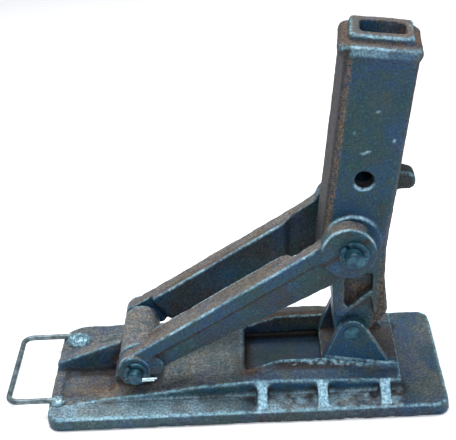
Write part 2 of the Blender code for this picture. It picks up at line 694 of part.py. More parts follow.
def main():
    clear_scene()
    cast = material("painted_cast_iron", (0.03, 0.10, 0.16), 0.6, 0.1)
    steel = material("dull_steel", (0.20, 0.20, 0.18), 0.5, 0.8)
    weld = material("weld_metal", (0.45, 0.52, 0.55), 0.5, 0.7)
    bright = material("bright_wire", (0.70, 0.72, 0.74), 0.3, 1.0)

    make_base(cast)
    make_handle(steel)
    make_weld("handle_weld_rear", (-165.5 * MM, 45.5 * MM, PLATE_THICKNESS),
              (12.5 * MM, 10.5 * MM, 9.5 * MM), weld)
    make_weld("handle_weld_front", (-174 * MM, -51 * MM, PLATE_THICKNESS),
              (8 * MM, 6.5 * MM, 7.5 * MM), weld)
    make_arm("link_arm_front", -1, cast)
    make_arm("link_arm_rear", 1, cast)
    make_socket(cast)
    make_shoe(cast)
    make_shoe_pin(steel)

    fit_pin("hub", PIVOT_A, HUB_PIN_RADIUS, HUB_PIN_TIP, HUB_WASHER_RADIUS,
            (HUB_HALF_WIDTH, ARM_BOSS_A), steel)
    fit_pin("head", PIVOT_B, HEAD_PIN_RADIUS, HEAD_PIN_TIP, HEAD_WASHER_RADIUS,
            (BOSS_HALF_DEPTH, ARM_BOSS_B), steel)
    make_split_pin("hub_split_pin", at_y(PIVOT_A, SPLIT_PIN_INSET - HUB_PIN_TIP), 7.6 * MM, 18.5 * MM,
                   bright)
    make_split_pin("head_split_pin", at_y(PIVOT_B, SPLIT_PIN_INSET - HEAD_PIN_TIP), 8.8 * MM,
                   11 * MM, steel)


main()
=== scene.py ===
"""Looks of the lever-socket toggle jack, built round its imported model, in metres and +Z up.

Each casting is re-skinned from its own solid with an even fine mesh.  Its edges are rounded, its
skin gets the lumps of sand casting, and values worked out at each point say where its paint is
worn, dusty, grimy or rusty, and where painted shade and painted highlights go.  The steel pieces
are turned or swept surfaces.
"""
import math

import bmesh
import bpy
import numpy as np
from mathutils import Matrix, Vector


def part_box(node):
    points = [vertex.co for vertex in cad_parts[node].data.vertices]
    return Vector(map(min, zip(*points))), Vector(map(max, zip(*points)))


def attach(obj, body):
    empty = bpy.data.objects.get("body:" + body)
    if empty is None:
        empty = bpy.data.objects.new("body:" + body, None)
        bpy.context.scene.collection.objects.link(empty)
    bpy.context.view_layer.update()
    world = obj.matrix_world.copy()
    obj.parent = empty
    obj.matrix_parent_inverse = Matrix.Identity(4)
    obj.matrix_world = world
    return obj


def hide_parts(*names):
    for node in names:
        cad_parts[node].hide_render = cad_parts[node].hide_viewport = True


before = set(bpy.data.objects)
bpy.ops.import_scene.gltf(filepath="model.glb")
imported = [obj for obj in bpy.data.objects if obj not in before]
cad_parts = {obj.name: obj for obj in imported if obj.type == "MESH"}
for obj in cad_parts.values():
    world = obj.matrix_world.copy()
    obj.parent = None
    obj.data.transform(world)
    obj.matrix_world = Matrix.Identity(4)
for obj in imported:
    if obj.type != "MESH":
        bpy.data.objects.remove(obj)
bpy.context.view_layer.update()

MM = 0.001

# Pivots of the linkage, each an axis along Y, and how far the socket leans from upright
HUB = np.array((-99.5, 0, 43)) * MM
HEAD = np.array((95.5, 0, 154)) * MM
SHOE = np.array((94.5, 0, 61.4)) * MM
LEAN = math.radians(8.1)

# Pins and washers
HUB_PIN = 6.2 * MM
HUB_TIP = 64 * MM
HUB_BOSS = 52.6 * MM
HUB_SIDE = 33.9 * MM
HEAD_PIN = 7.6 * MM
HEAD_TIP = 66 * MM
HEAD_BOSS = 53.4 * MM
HEAD_SIDE = 33.6 * MM
PIN_FIT = 0.35 * MM
GAP = 0.3 * MM
WASHER = 3 * MM
HUB_WASHER = 10.5 * MM
HEAD_WASHER = 12.8 * MM
SPLIT_AT = 122
SPACER = 1.6 * MM
SPACER_WALL = 5.5 * MM

# Bail
WIRE = 2.7 * MM
BAIL_X = -219.3 * MM
BAIL_HALF = 51.7 * MM
BAIL_Z = 15.5 * MM

# Places that wear, painted highlights and painted shade follow, in millimetres
GUSSETS = (12, 66, 121.5)
RAIL_CREST = 54.2
LIP = 37.6
PLATE_SIDE = 76.5
SOCKET_MID = -9.3
SOCKET_HALF = 28.6
ARM_BOSS = (91.3, 154.2)
SOCKET_HOLE = (106.5, 211.8)

# Rounds of averaging: to even out a new skin, to find its edges, to find its hollows, and to melt
EVEN_ROUNDS = 2
EDGE_ROUNDS = 14
BROAD_ROUNDS = 90
MELT_ROUNDS = 30

# Numbers that scatter a lattice corner and a seed
SCATTER = (73856093, 19349663, 83492791)
SEED_SCATTER = 977
SECOND_SCATTER = 1274126177


# Shapes


def new_object(name, points, faces, smooth_angle=40):
    """Put arrays of points and faces into a mesh object, shaded smooth except at sharp edges."""
    mesh = bpy.data.meshes.new(name)
    mesh.from_pydata(points.tolist(), [], faces)
    mesh.update()
    tidy = bmesh.new()
    tidy.from_mesh(mesh)
    bmesh.ops.remove_doubles(tidy, verts=tidy.verts, dist=1e-6)
    bmesh.ops.recalc_face_normals(tidy, faces=tidy.faces)
    tidy.to_mesh(mesh)
    tidy.free()
    mesh.shade_smooth()
    mesh.set_sharp_from_angle(angle=math.radians(smooth_angle))
    made = bpy.data.objects.new(name, mesh)
    bpy.context.scene.collection.objects.link(made)
    return made


def grid_faces(rows, columns, close_rows=False):
    """Faces of a grid whose columns wrap round, and its rows too if asked.

    Point (i, j) is number i * columns + j.
    """
    bands = rows if close_rows else rows - 1
    i, j = np.meshgrid(np.arange(bands), np.arange(columns), indexing="ij")
    ahead = (i + 1) % rows
    beside = (j + 1) % columns
    corners = (i * columns + j, i * columns + beside, ahead * columns + beside, ahead * columns + j)
    return np.stack(corners, axis=-1).reshape(-1, 4).tolist()


def turned(name, centre, profile, closed=False, steps=72):
    """Turn a profile of (y, r) about the Y axis through a centre: (r cos a, y, r sin a).

    An open profile is capped with a flat disc at both ends; a closed one makes a ring.
    """
    y, r = np.array(profile).T
    angle = np.arange(steps) * 2 * math.pi / steps
    points = np.stack((r[:, None] * np.cos(angle), np.broadcast_to(y[:, None], (len(y), steps)),
                       r[:, None] * np.sin(angle)), axis=-1) + centre * (1, 0, 1)
    faces = grid_faces(len(y), steps, closed)
    if not closed:
        last = (len(y) - 1) * steps
        faces += [list(range(steps)), list(range(last, last + steps))]
    return new_object(name, points.reshape(-1, 3), faces, 35)


def rounded_profile(corners, radius, steps=4):
    """Round the corners of an open profile: each becomes a quadratic curve between two points."""
    corners = np.array(corners)
    out = [corners[:1]]
    for before, corner, after in zip(corners, corners[1:], corners[2:]):
        back, ahead = np.linalg.norm(before - corner), np.linalg.norm(after - corner)
        reach = min(radius, 0.45 * back, 0.45 * ahead)
        start = corner + reach * (before - corner) / back
        end = corner + reach * (after - corner) / ahead
        t = np.linspace(0, 1, steps)[:, None]
        out.append((1 - t) ** 2 * start + 2 * t * (1 - t) * corner + t ** 2 * end)
    out.append(corners[-1:])
    return np.concatenate(out)


def swept(name, path, normal, radius, sides=20):
    """Carry a circle along a flat path: p + r (cos a . across + sin a . normal), with round ends.

    Across is the path's direction crossed with the normal of the plane that the path lies in.
    """
    along = np.gradient(path, axis=0)
    along /= np.linalg.norm(along, axis=1)[:, None]
    across = np.cross(along, normal)
    radius = np.broadcast_to(radius, len(path))
    cap = np.linspace(0, math.pi / 2, 5)[:-1]
    start = path[0] - along[0] * (radius[0] * np.cos(cap))[:, None]
    end = path[-1] + along[-1] * (radius[-1] * np.cos(cap[::-1]))[:, None]
    centres = np.concatenate((start, path, end))
    widths = np.concatenate((radius[0] * np.sin(cap), radius, radius[-1] * np.sin(cap[::-1])))
    sideways = np.concatenate((np.repeat(across[:1], 4, 0), across, np.repeat(across[-1:], 4, 0)))
    angle = np.arange(sides) * 2 * math.pi / sides
    offset = (np.cos(angle)[None, :, None] * sideways[:, None, :]
              + np.sin(angle)[None, :, None] * np.array(normal, float)[None, None, :])
    points = centres[:, None, :] + widths[:, None, None] * offset
    return new_object(name, points.reshape(-1, 3), grid_faces(len(centres), sides), 60)


def grain(points, size, seed):
    """Smooth random values from -1 to 1.

    Random numbers on a cubic lattice of the given size are joined along each axis with the curve
    3 t^2 - 2 t^3.
    """
    cell = points / size
    corner = np.floor(cell).astype(np.int64)
    t = cell - corner
    t = t * t * (3 - 2 * t)
    total = np.zeros(len(points))
    for step in np.ndindex(2, 2, 2):
        a, b, c = ((corner + np.array(step)) * np.array(SCATTER)).T
        mixed = a ^ b ^ c ^ seed * SEED_SCATTER
        mixed = (mixed ^ mixed >> 13 & 0x7FFFF) & 0xFFFFFFFF
        mixed = mixed * SECOND_SCATTER & 0xFFFFFFFF
        value = (mixed >> 8 & 0xFFFF) / 32767.5 - 1
        total += value * np.where(step, t, 1 - t).prod(axis=1)
    return total


def lumps(points, size, octaves, seed):
    """Sum of grain at halving sizes and halving heights."""
    return sum(grain(points, size / 2 ** k, seed + k) / 2 ** k for k in range(octaves))


def averaged(points, edges, rounds):
    """Move every point halfway to the mean of its neighbours, a number of times."""
    a, b = edges.T
    count = np.bincount(edges.ravel(), minlength=len(points))[:, None]
    for _ in range(rounds):
        total = np.stack([np.bincount(a, points[b, k], len(points))
                          + np.bincount(b, points[a, k], len(points)) for k in range(3)], axis=1)
        points = 0.5 * points + 0.5 * total / count
    return points


def ramp(values, low, high):
    """Rise from 0 at low to 1 at high along 3 t^2 - 2 t^3; high may be the smaller one."""
    t = np.clip((values - low) / (high - low), 0, 1)
    return t * t * (3 - 2 * t)


def band(values, middle, outer, inner):
    """1 within the inner distance of a middle, falling to 0 at the outer distance."""
    return ramp(np.abs(values - middle), outer, inner)


def near(points, centre, reach):
    """A bell of height 1 about a centre: exp(-(d / reach)^2), with a reach for each axis."""
    return np.exp(-(((points - np.array(centre) * MM) / (np.array(reach) * MM)) ** 2).sum(axis=1))


def bells(points, *parts):
    """Sum of bells, each given by its height, its centre and its reach."""
    return sum(height * near(points, centre, reach) for height, centre, reach in parts)


def from_axis(points, x, z):
    """Distance of each point from an axis along Y, in millimetres."""
    return np.hypot(points[:, 0] / MM - x, points[:, 2] / MM - z)


def read(mesh, kind):
    """Read a mesh's points, normals or edges into an array."""
    source, key, width, form = {
        "points": (mesh.vertices, "co", 3, float),
        "normals": (mesh.vertex_normals, "vector", 3, float),
        "edges": (mesh.edges, "vertices", 2, int)}[kind]
    values = np.empty(len(source) * width, form)
    source.foreach_get(key, values)
    return values.reshape(-1, width)


def store(mesh, name, values):
    """Keep one value per point on the mesh, for the materials to read."""
    mesh.attributes.new(name, "FLOAT", "POINT").data.foreach_set("value", values.astype(np.float32))


def casting(node, body, voxel, shape, marks, soft):
    """Re-skin a CAD casting and give it a sand-cast surface.

    shape(points, normals, convex) returns how far each point moves along its normal, in metres.
    marks(points, normals) returns how rusty, highlit, dusty, and grimy or shaded each point is,
    from
    0 to 1, and where the edges get neither pale wear nor a painted highlight.
    soft(points) returns how far each point is rounded off by wide averaging, from 0 to 1, and may
    be None.
    """
    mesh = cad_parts[node].data.copy()
    merged = bmesh.new()
    merged.from_mesh(mesh)
    bmesh.ops.remove_doubles(merged, verts=merged.verts, dist=5e-6)
    merged.to_mesh(mesh)
    merged.free()
    rough = bpy.data.objects.new(f"{node}_solid", mesh)
    bpy.context.scene.collection.objects.link(rough)
    skin = rough.modifiers.new("skin", "REMESH")
    skin.mode = "VOXEL"
    skin.voxel_size = voxel
    evaluated = rough.evaluated_get(bpy.context.evaluated_depsgraph_get())
    done = bpy.data.meshes.new_from_object(evaluated)
    bpy.data.objects.remove(rough)

    edges = read(done, "edges")
    points = averaged(read(done, "points"), edges, EVEN_ROUNDS)
    if soft:
        share = soft(points)[:, None]
        points = points * (1 - share) + averaged(points, edges, MELT_ROUNDS) * share
    done.vertices.foreach_set("co", points.ravel())
    done.update()
    normals = read(done, "normals")
    convex = ((points - averaged(points, edges, EDGE_ROUNDS)) * normals).sum(axis=1) / MM
    broad = ((points - averaged(points, edges, BROAD_ROUNDS)) * normals).sum(axis=1) / MM
    moved = points + normals * shape(points, normals, convex)[:, None]
    low, high = (np.array(corner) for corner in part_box(node))
    moved = np.clip(moved, low, high)
    done.vertices.foreach_set("co", moved.ravel())
    done.update()

    # Painted highlight: the pale edge colour is edge wear, and is strongest where edges face up and
    # toward the front, where the light falls.
    lit = ramp(normals[:, 2] - 0.35 * normals[:, 1], 0.25, 0.75)
    shown = marks(points, normals)
    unmarked_edges = np.clip(shown.pop("unmarked_edges", 0), 0, 1)
    store(done, "worn_and_highlit", ramp(convex, 0.22, 0.55) * (0.12 + 0.88 * lit) * (1 - unmarked_edges))
    # Painted shade: broad hollows are darkened.
    store(done, "hollow_shade", ramp(-broad, 0.2, 1.5))
    for key, values in shown.items():
        store(done, key, np.clip(values, 0, 1))
    done.materials.clear()
    done.shade_smooth()
    made = bpy.data.objects.new(f"{node}_skin", done)
    bpy.context.scene.collection.objects.link(made)
    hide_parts(node)
    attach(made, body)
    return made


# Materials


class Nodes:
    """A short way to write a material's nodes."""

    def __init__(self, name):
        """Start a material: its shader, and the place of each point on its own object."""
        self.material = bpy.data.materials.new(name)
        self.material.use_nodes = True
        self.tree = self.material.node_tree
        self.shader = self.tree.nodes["Principled BSDF"]
        self.place = self.add("ShaderNodeTexCoord").outputs["Object"]

    def add(self, kind, **settings):
        """Add a node of a kind, with settings."""
        made = self.tree.nodes.new(kind)
        for key, value in settings.items():
            setattr(made, key, value)
        return made

    def link(self, value, socket):
        """Join a node's output to a socket, or set the socket to a plain value."""
        if isinstance(value, bpy.types.NodeSocket):
            self.tree.links.new(value, socket)
        else:
            socket.default_value = value

    def noise(self, scale, detail=4.0, roughness=0.55):
        """Noise at a number of cells per metre."""
        made = self.add("ShaderNodeTexNoise")
        self.link(self.place, made.inputs["Vector"])
        made.inputs["Scale"].default_value = scale
        made.inputs["Detail"].default_value = detail
        made.inputs["Roughness"].default_value = roughness
        return made.outputs["Fac"]

    def attribute(self, name):
        """Read a value that is kept on the mesh."""
        return self.add("ShaderNodeAttribute", attribute_name=name).outputs["Fac"]

    def span(self, value, low, high, to_low=0.0, to_high=1.0):
        """Bring a value from one range to another, held at its ends."""
        made = self.add("ShaderNodeMapRange", interpolation_type="SMOOTHSTEP")
        for socket, number in zip(made.inputs, (value, low, high, to_low, to_high)):
            self.link(number, socket)
        return made.outputs["Result"]

    def maths(self, operation, a, b):
        """Work out a sum or a product of two values, held between 0 and 1."""
        made = self.add("ShaderNodeMath", operation=operation, use_clamp=True)
        self.link(a, made.inputs[0])
        self.link(b, made.inputs[1])
        return made.outputs["Value"]

    def mix(self, factor, a, b):
        """Mix two colours."""
        made = self.add("ShaderNodeMix", data_type="RGBA")
        for socket, value in zip((made.inputs[0], made.inputs[6], made.inputs[7]), (factor, a, b)):
            self.link(value, socket)
        return made.outputs[2]

    def blend(self, factor, a, b):
        """Mix two numbers."""
        made = self.add("ShaderNodeMix", data_type="FLOAT")
        for socket, value in zip((made.inputs[0], made.inputs[2], made.inputs[3]), (factor, a, b)):
            self.link(value, socket)
        return made.outputs[0]

    def bump(self, height, distance, strength):
        """Let a height from 0 to 1 tilt the shader's normal."""
        made = self.add("ShaderNodeBump")
        made.inputs["Distance"].default_value = distance
        made.inputs["Strength"].default_value = strength
        self.link(height, made.inputs["Height"])
        self.link(made.outputs["Normal"], self.shader.inputs["Normal"])


def colour(red, green, blue):
    """Turn a screen colour from 0 to 255 into the linear colour that a shader takes."""
    screen = np.array((red, green, blue)) / 255
    linear = np.where(screen <= 0.04045, screen / 12.92, ((screen + 0.055) / 1.055) ** 2.4)
    return (*linear.tolist(), 1.0)


def painted_iron():
    """Old blue-green paint on sand-cast iron: edges worn pale and highlit; dust, grime, rust,
    painted shade.
    """
    n = Nodes("painted_iron")
    patches = n.noise(22, 5)
    blotches = n.noise(85, 6, 0.6)
    specks = n.noise(420, 4, 0.65)
    fine = n.noise(900, 3, 0.7)
    paint = n.mix(n.span(patches, 0.38, 0.6), colour(8, 58, 66), colour(4, 58, 96))
    paint = n.mix(n.span(blotches, 0.44, 0.68, 0, 0.7), paint, colour(40, 66, 58))
    paint = n.mix(n.span(n.noise(60, 4), 0.56, 0.7, 0, 0.35), paint, colour(66, 54, 48))
    # Lighter bluish specks: grain tone, and painted glints on the cast grain.
    paint = n.mix(n.span(specks, 0.48, 0.72, 0, 0.75), paint, colour(46, 96, 112))
    paint = n.mix(n.span(fine, 0.54, 0.36, 0, 0.85), paint, colour(4, 16, 26))

    dust = n.maths("MULTIPLY", n.attribute("dusty"), n.span(blotches, 0.3, 0.62, 0.35, 1))
    dust = n.maths("MULTIPLY", dust, n.span(fine, 0.36, 0.56, 0.3, 1))
    dust_colour = n.mix(n.span(specks, 0.36, 0.64), colour(84, 68, 58), colour(138, 138, 132))
    shown = n.mix(dust, paint, dust_colour)

    # Painted shade: near-black in broad hollows.
    hollow_shade = n.maths("MULTIPLY", n.attribute("hollow_shade"), n.span(blotches, 0.3, 0.6, 0.5, 1))
    shown = n.mix(hollow_shade, shown, colour(22, 24, 26))

    # Grime, and painted shade on shaded sides, undersides, recesses and between parts, dark to
    # brownish.
    grime_and_shade_share = n.maths("MULTIPLY", n.attribute("grime_and_shade"), n.span(specks, 0.34, 0.56, 0.55, 1))
    grime_and_shade_colour = n.mix(n.span(fine, 0.45, 0.6), colour(22, 20, 20), colour(74, 58, 50))
    shown = n.mix(grime_and_shade_share, shown, grime_and_shade_colour)

    rust_patches = n.span(n.noise(300, 5, 0.7), 0.4, 0.56, 0.1, 1)
    rust = n.maths("MULTIPLY", n.attribute("rusty"), rust_patches)
    rust_colour = n.mix(n.span(fine, 0.38, 0.62), colour(62, 46, 36), colour(134, 112, 90))
    shown = n.mix(rust, shown, rust_colour)

    # Pale cyan edges: edge wear, and a painted highlight on lit edges.
    chips = n.noise(260, 5, 0.7)
    chipped_and_highlit = n.maths("MULTIPLY", n.attribute("worn_and_highlit"), n.span(chips, 0.42, 0.62, 0.05, 0.85))
    shown = n.mix(chipped_and_highlit, shown, colour(108, 160, 178))
    # Painted highlights: pale blue to near-white.
    painted_highlight = n.maths("MULTIPLY", n.attribute("painted_highlight"), n.span(chips, 0.3, 0.55, 0.5, 1))
    painted_highlight_colour = n.mix(n.span(specks, 0.36, 0.62), colour(96, 146, 174), colour(176, 214, 228))
    shown = n.mix(painted_highlight, shown, painted_highlight_colour)
    n.link(shown, n.shader.inputs["Base Color"])

    gloss = n.span(blotches, 0.3, 0.7, 0.3, 0.46)
    gloss = n.blend(dust, gloss, 0.75)
    gloss = n.blend(grime_and_shade_share, gloss, 0.8)
    gloss = n.blend(rust, gloss, 0.85)
    n.link(n.blend(chipped_and_highlit, gloss, 0.3), n.shader.inputs["Roughness"])
    n.shader.inputs["Specular IOR Level"].default_value = 0.32
    height = n.maths("ADD", n.blend(0.45, specks, fine), n.maths("MULTIPLY", rust, 0.35))
    n.bump(height, 1.3 * MM, 0.9)
    return n.material


def bare_steel(name, dark, light, stain, gloss, stain_share=0.5):
    """Bare steel: a drawn grain, darker patches and a stain, and a broken gloss."""
    n = Nodes(name)
    patches = n.noise(160, 5, 0.6)
    fine = n.noise(900, 3)
    metal = n.mix(n.span(patches, 0.35, 0.65), dark, light)
    metal = n.mix(n.span(n.noise(330, 5, 0.6), 0.5, 0.68, 0, stain_share), metal, stain)
    n.link(metal, n.shader.inputs["Base Color"])
    n.shader.inputs["Metallic"].default_value = 0.55
    n.link(n.span(fine, 0.3, 0.7, gloss, gloss + 0.2), n.shader.inputs["Roughness"])
    n.bump(n.blend(0.5, patches, fine), 0.2 * MM, 0.4)
    return n.material


def two_tone_wire():
    """A split pin's wire: dark blue-grey at its eye end, near-white along its legs."""
    n = Nodes("bright_wire")
    patches = n.noise(500, 4, 0.6)
    old = n.mix(patches, colour(14, 44, 56), colour(62, 92, 104))
    bare = n.mix(n.span(patches, 0.35, 0.6), colour(150, 196, 210), colour(222, 244, 250))
    n.link(n.mix(n.attribute("shine"), old, bare), n.shader.inputs["Base Color"])
    n.shader.inputs["Metallic"].default_value = 0.3
    n.link(n.span(patches, 0.3, 0.7, 0.24, 0.42), n.shader.inputs["Roughness"])
    n.bump(patches, 0.15 * MM, 0.3)
    return n.material


def finish(piece, material):
    """Give a piece its one material."""
    piece.data.materials.clear()
    piece.data.materials.append(material)
    return piece


# Castings


def socket_frame(points):
    """Return u up the socket and v across it, in millimetres from the shoe pin."""
    x, z = (points[:, 0] - SHOE[0]) / MM, (points[:, 2] - SHOE[2]) / MM
    return x * math.sin(LEAN) + z * math.cos(LEAN), x * math.cos(LEAN) - z * math.sin(LEAN)


def cast_skin(points, convex, seed):
    """Sand-cast unevenness: broad waves, small lumps, and nicks that are deeper at edges."""
    waves = 0.24 * lumps(points, 16 * MM, 3, seed)
    nicks = ramp(grain(points, 7 * MM, seed + 9), 0.15, 0.7) * ramp(convex, 0.15, 0.5) * 0.45
    return (waves + 0.2 * grain(points, 3 * MM, seed + 5) - nicks) * MM


def base_shape(points, normals, convex):
    """The base: cast skin, a ragged lower edge, and rough pockets between the gussets."""
    x, y, z = (points / MM).T
    pockets = ramp(np.abs(y), 53, 56) * ramp(z, 27, 24) * ramp(x, 2, 8) * ramp(x, 139, 133)
    rim = ramp(z, 6, 1.5) * (np.abs(normals[:, 2]) < 0.85) * ramp(convex, -0.1, 0.3)
    bites = grain(points, 11 * MM, 41) + 0.5 * grain(points, 5 * MM, 42)
    ragged = -2.1 * rim * ramp(bites, -0.2, 1.0)
    rough = 0.6 * pockets * lumps(points, 3.6 * MM, 2, 43)
    hub = 0.6 * near(points, (-108, 0, 40), (30, 44, 26)) * lumps(points, 5 * MM, 2, 47)
    hub += 0.9 * near(points, (0, -30, 24), (12, 16, 12)) * lumps(points, 6 * MM, 2, 48)
    flat = 1 - ramp(z, 1.6, 0.4) * (normals[:, 2] < -0.5)
    return cast_skin(points, convex, 11) * flat + (ragged + rough + hub) * MM


def base_marks(points, normals):
    """Dust on plate and hub; grime and painted shade in slot and pockets; painted highlights on
    ribs, lips.
    """
    x, y, z = (points / MM).T
    up = np.clip(normals[:, 2], 0, 1)
    side = np.abs(y)
    rear_rail = (y > 33) * (y < 57) * ramp(x, -10, 20) * ramp(z, 24, 30)
    rail_top = ramp(side, 35.4, 37) * ramp(side, 44, 41) * ramp(x, 15, 28) * (z > 30)
    pocket = ramp(side, 54, 57) * ramp(x, 4, 9) * ramp(x, 138, 132) * (z < 26)
    slot = ramp(side, 45, 43) * ramp(x, -8, -2) * (z < 26) * ramp(x, 140, 137)
    slot_end = near(points, (2, -22, 22), (14, 14, 16)) + near(points, (2, -40, 28), (10, 6, 8))

    rust = bells(points, (1.1, (-126, -38, 12), (13, 9, 10)), (0.5, (-150, -34, 12), (22, 10, 10)),
                 (0.4, (-112, -24, 26), (22, 30, 20)), (0.55, (3, -38, 24), (9, 7, 9)),
                 (1.2, (-46, -46, 22), (2.2, 2.2, 3)))
    rust += 0.2 * rear_rail + 0.4 * pocket * up * ramp(grain(points, 4 * MM, 17), 0.1, 0.6)

    # The slot gets painted shade; its end, the rail tops and the rear rail get grime.
    grime_and_shade = 0.35 * slot + 1.1 * slot_end + 0.8 * rail_top + 0.5 * rear_rail
    # Painted shade on the pocket walls, which face away from the light.
    grime_and_shade += 0.55 * pocket * (1 - up)
    # Painted shade in the dark notch at the right end of the pockets; grime in the trough by the
    # hub.
    grime_and_shade += bells(points, (1.2, (134, -60, 18), (7, 10, 9)), (0.65, (-135, -24, 11), (26, 24, 6)))
    # Side faces get darker towards their bottom edge, in patches.
    grime_and_shade += 0.5 * (1 - up) * ramp(z, 9, 5) * ramp(grain(points, 22 * MM, 19), -0.3, 0.6)

    dusty = up * (0.2 + 0.42 * ramp(x, 60, -60) + 0.35 * rear_rail + 0.5 * pocket)
    dusty += 0.6 * near(points, (-105, 0, 55), (34, 60, 16))
    dusty += 0.3 * up * near(points, (-150, 10, 30), (34, 40, 24))
    dusty *= 1 - 0.8 * np.clip(slot, 0, 1)
    streaks = lumps(points * (1, 0.35, 1), 14 * MM, 3, 35)
    dusty += 0.25 * up * ramp(x, 138, 142) * ramp(streaks, -0.4, 0.6)

    # Painted highlights: the gussets' fronts, the rail crest, the lip, the plate's front edge, and
    # up-facing faces at the front and in the pockets.
    ribs = sum(band(x, centre, 5, 4) for centre in GUSSETS) * ramp(side, 53, 55) * (z > 12.4)
    crest = band(side, RAIL_CREST, 1.3, 0.3) * ramp(x, -172, -150) * ramp(x, 138, 137) * (z > 12.6)
    lip = band(side, LIP, 0.9, 0.2) * (z > 29) * (x > 34)
    lip *= ramp(grain(points, 2.2 * MM, 23), 0, 0.5)
    brim = band(y, -PLATE_SIDE, 1.1, 0.3) * ramp(z, 9.8, 11.4)
    broken = ramp(lumps(points, 16 * MM, 3, 29), -0.5, 0.5)
    painted_highlight = 1.1 * ribs + 0.7 * lip + (0.75 * crest * up ** 0.5 + 0.8 * brim) * (0.3 + 0.7 * broken)
    painted_highlight += 0.42 * (y < -55.5) * up * ramp(x, 2, -22) * (0.4 + 0.6 * broken)
    painted_highlight += 0.5 * pocket * up * ramp(grain(points, 5 * MM, 33), -0.5, 0.5)
    unmarked_edges = band(x, -3, 4, 2) * (side < 45) + ramp(x, -112, -118) * (side < 46) * (z < 17) + slot_end
    return {"rusty": rust, "painted_highlight": painted_highlight, "dusty": dusty, "grime_and_shade": grime_and_shade, "unmarked_edges": unmarked_edges}


def arm_shape(points, normals, convex):
    """A link arm: cast skin only."""
    return cast_skin(points, convex, 23)


def arm_height(points):
    """Return how far along and how far above the line between its pivots each point is, in mm."""
    along = (HEAD - HUB) / np.linalg.norm(HEAD - HUB)
    offset = (points - HUB) / MM
    return offset @ along, offset @ np.array((-along[2], 0, along[0]))


def arm_soft(points):
    """The flange flows into both bosses, and the inner swell into the arm at both its ends."""
    along, _ = arm_height(points)
    side = np.abs(points[:, 1]) / MM
    bosses = near(points, (70, 0, 143), (14, 90, 14)) + near(points, (-80, 0, 57), (10, 90, 9))
    steps = band(along, 175, 12, 7) + band(along, 22, 6, 3)
    return np.clip(0.85 * ramp(side, 42, 44) * bosses + 0.95 * ramp(side, 41, 39) * steps, 0, 1)


def arm_marks(points, normals):
    """Dusty brown upper edge; painted highlights on the flange corner and boss; painted shade
    below.
    """
    along, height = arm_height(points)
    up = np.clip(normals[:, 2], 0, 1)
    side = np.abs(points[:, 1]) / MM
    top = ramp(up, 0.6, 0.85) * ramp(height, 8, 12)
    crown = 15.4 + 0.0175 * (along - 12)
    # Painted highlights along the flange's corner and round the head boss.
    brim = band(side, 49.4, 1.0, 0.3) * ramp(height - crown, -2.2, -1.0) * ramp(along, 205, 190)
    brim += 0.8 * band(side, 27.6, 1.5, 0.5) * ramp(height - crown, -1.5, 0.5)
    broken = ramp(lumps(points, 14 * MM, 3, 61), -0.4, 0.4)
    rust = 0.35 * top + 0.5 * near(points, (-99.5, -40, 40), (18, 30, 8))
    ledge = 3.1 + 0.016 * (along - 14)
    # Painted shade: the lower part of each arm, faces that look down, a shadow under the flange,
    # the recessed web and the inner faces, in patches.
    grime_and_shade = 0.3 * ramp(height, -6, -12) + 0.6 * ramp(-normals[:, 2], 0.2, 0.8)
    grime_and_shade += 0.9 * band(height, ledge - 1.6, 3.2, 1.2) * ramp(side, 42, 43) * ramp(along, 14, 24)
    grime_and_shade += 0.35 * ramp(side, 44.5, 43.6) * ramp(grain(points, 18 * MM, 63), -0.2, 0.5)
    grime_and_shade += 0.4 * ramp(side, 38, 34) * ramp(grain(points, 30 * MM, 65), -0.1, 0.6)
    rim = band(from_axis(points, *ARM_BOSS), 23.2, 1.3, 0.4)
    arc = rim * ramp(side, 50, 52) * ramp(points[:, 2] / MM, 156, 168)
    return {"rusty": rust, "painted_highlight": (0.75 * brim + 0.6 * arc) * (0.3 + 0.7 * broken),
            "dusty": 0.8 * top, "grime_and_shade": grime_and_shade}


def socket_shape(points, normals, convex):
    """The socket: cast skin, and four small raised flaws on its front."""
    front = points[:, 1] < -20 * MM
    flaws = sum(near(points, centre, reach) for centre, reach in (
        ((107.5, -31, 238), (4.6, 4, 1.3)), ((131, -31, 247), (2.2, 4, 2.0)),
        ((118, -31, 274), (2.0, 4, 1.4)), ((97, -31, 255), (1.6, 4, 1.2))))
    return cast_skin(points, convex, 31) + 0.7 * MM * flaws * front


